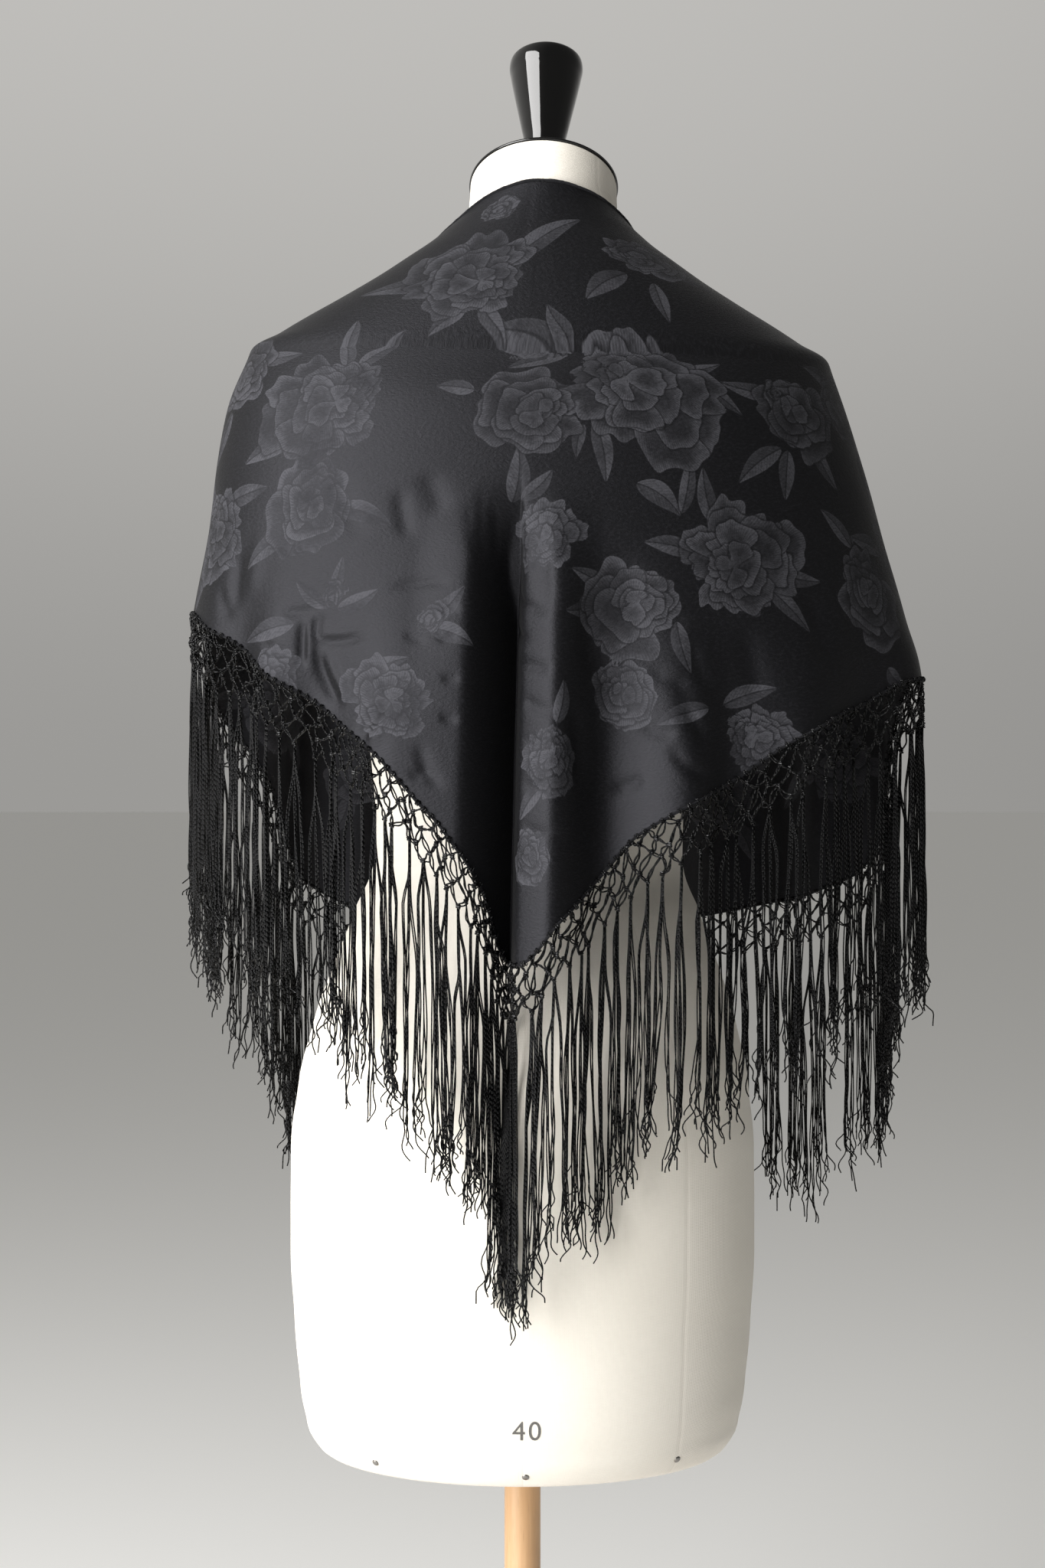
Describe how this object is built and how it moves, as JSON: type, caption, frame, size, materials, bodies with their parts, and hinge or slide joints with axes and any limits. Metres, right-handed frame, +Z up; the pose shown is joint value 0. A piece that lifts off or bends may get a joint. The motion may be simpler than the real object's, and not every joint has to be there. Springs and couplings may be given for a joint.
{
  "type": "fringed silk scarf on a dress form",
  "caption": "Triangular damask silk scarf with a knotted fringe, draped round the shoulders of a limbless padded dress form on a wooden stand.",
  "frame": {"origin": "centre of the flat underside of the stand's base, on the floor", "axes": "+Z up; the wearer's back faces -Y, the chest +Y, and +X is the right of a viewer who faces the back"},
  "size_m": [0.542, 0.35, 1.6072],
  "materials": {
    "base_wood": "clear satin varnish on turned beech",
    "pole_wood": "clear satin varnish on turned beech",
    "form_canvas": "off-white cotton canvas over padding",
    "plate_lacquer": "black gloss lacquer",
    "handle_lacquer": "black gloss lacquer",
    "silk": "black silk damask with tone-on-tone flowers",
    "fringe_thread_left": "twisted black silk threads, knotted",
    "fringe_thread_right": "twisted black silk threads, knotted"
  },
  "bodies": {
    "root": {"base": "base_wood", "pole": "pole_wood", "dress_form": "form_canvas", "neck_plate": "plate_lacquer", "neck_handle": "handle_lacquer", "shawl_cloth": "silk", "fringe_left": "fringe_thread_left", "fringe_right": "fringe_thread_right"}
  },
  "joints": []
}
